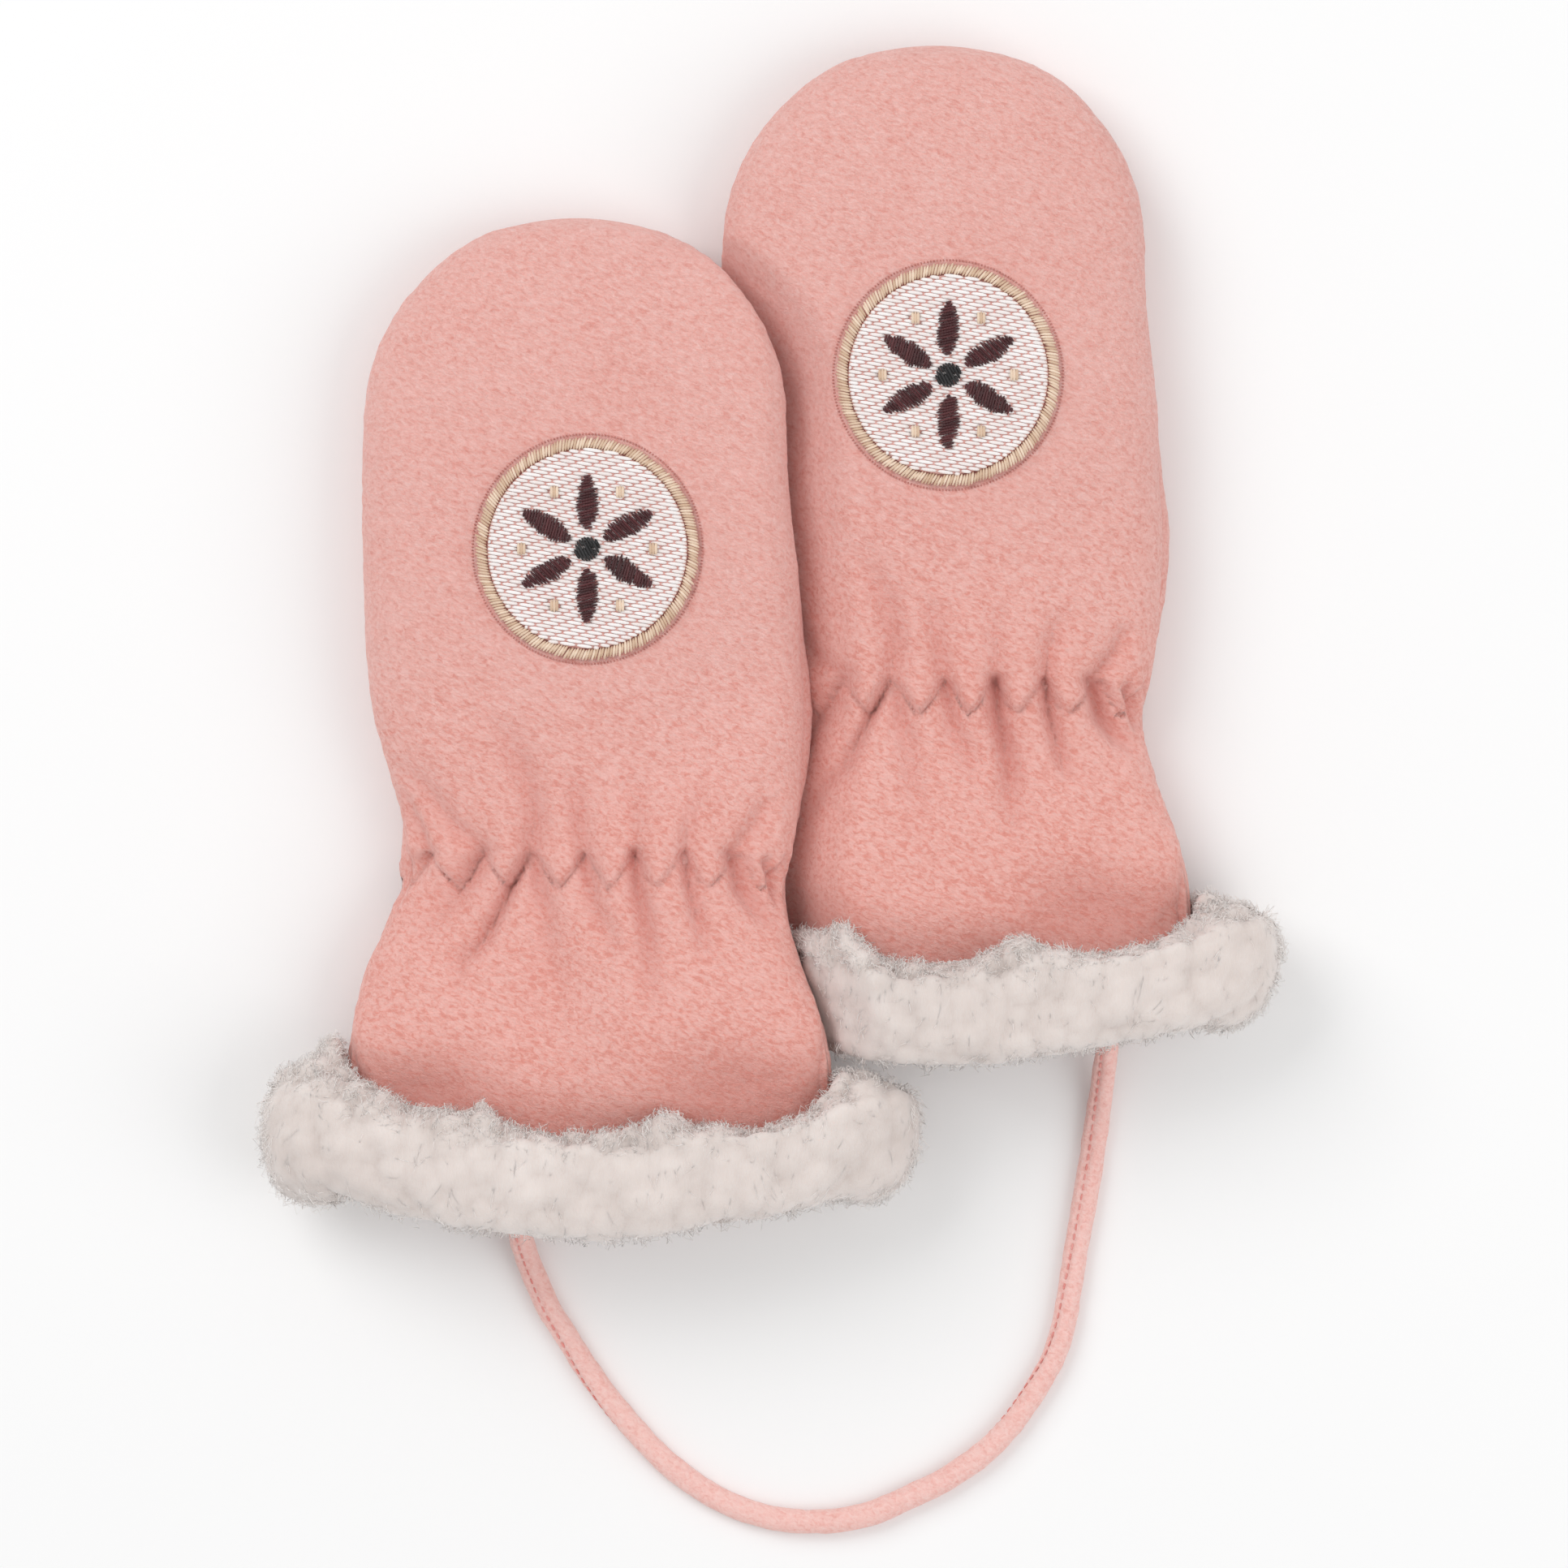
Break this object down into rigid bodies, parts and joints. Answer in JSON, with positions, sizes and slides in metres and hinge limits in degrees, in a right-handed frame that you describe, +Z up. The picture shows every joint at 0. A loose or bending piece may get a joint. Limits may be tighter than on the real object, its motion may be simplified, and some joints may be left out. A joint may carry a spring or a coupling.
{
  "type": "baby mittens",
  "caption": "Pair of baby's pink fleece mittens laid flat, with gathered wrists, white fur cuffs and round embroidered badges, joined by one thin cord.",
  "frame": {"origin": "on the surface that the pair lies on, under the middle of the two mittens' bounding box", "axes": "+Y from the mouths toward the fingertips, +X to the right seen from above, +Z up out of the surface"},
  "size_m": [0.1511, 0.2213, 0.0277],
  "materials": {
    "pink_fleece": "soft brushed nap, matte",
    "white_fur": "long soft curled pile, matte",
    "cream_thread": "embroidery thread, soft sheen",
    "tan_thread": "embroidery thread, soft sheen"
  },
  "bodies": {
    "root": {"left_back_panel": "pink_fleece", "left_palm_panel": "pink_fleece", "left_fur_cuff": "white_fur", "left_badge_ground": "cream_thread", "left_badge_rim": "tan_thread", "right_back_panel": "pink_fleece", "right_palm_panel": "pink_fleece", "right_fur_cuff": "white_fur", "right_badge_ground": "cream_thread", "right_badge_rim": "tan_thread", "cord": "pink_fleece"}
  },
  "joints": []
}
